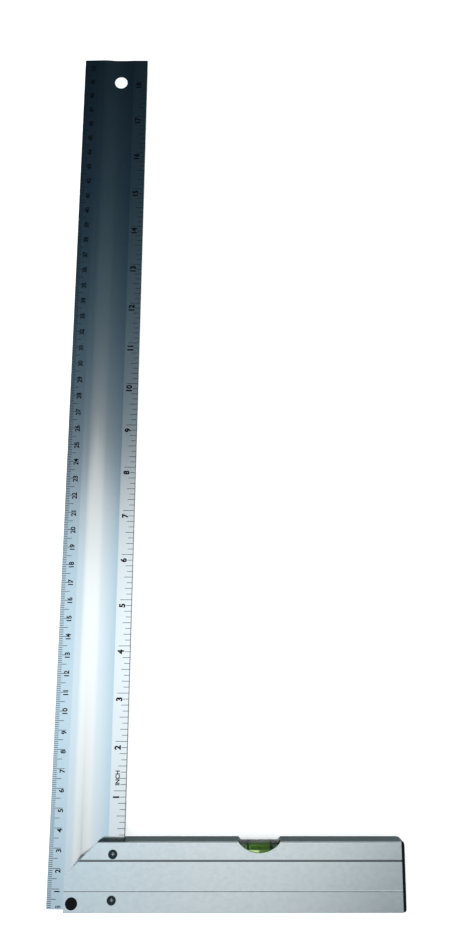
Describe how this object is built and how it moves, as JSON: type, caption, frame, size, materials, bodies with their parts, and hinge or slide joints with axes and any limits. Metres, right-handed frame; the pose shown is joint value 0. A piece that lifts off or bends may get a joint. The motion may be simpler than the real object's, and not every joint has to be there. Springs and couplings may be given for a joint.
{
  "type": "aluminium square",
  "caption": "Metalworker's and joiner's try square: a ruled aluminium blade fixed at right angles in a hollow aluminium stock with a level vial and a mitred corner.",
  "frame": {"origin": "back face of the stock, where the centre lines of the blade and the stock cross", "axes": "+X along the stock away from the corner, +Y along the blade away from the stock, +Z out of the ruled front face"},
  "size_m": [0.1869, 0.5057, 0.018],
  "materials": {
    "anodised_stock": "satin",
    "brushed_blade": "brushed",
    "black_plastic": "matte",
    "dark_steel": "dark zinc",
    "clear_acrylic": "clear",
    "green_liquid": "clear"
  },
  "bodies": {
    "root": {"stock": "anodised_stock", "blade": "brushed_blade", "end_cap": "black_plastic", "packer_front": "anodised_stock", "packer_rear": "anodised_stock", "upper_screw": "dark_steel", "upper_nut": "dark_steel", "lower_screw": "dark_steel", "lower_nut": "dark_steel", "corner_plug": "black_plastic", "vial_barrel": "clear_acrylic", "vial_liquid": "green_liquid", "vial_plug": "clear_acrylic", "vial_ring_left": "black_plastic", "vial_ring_right": "black_plastic", "vial_holder": "black_plastic"}
  },
  "joints": []
}
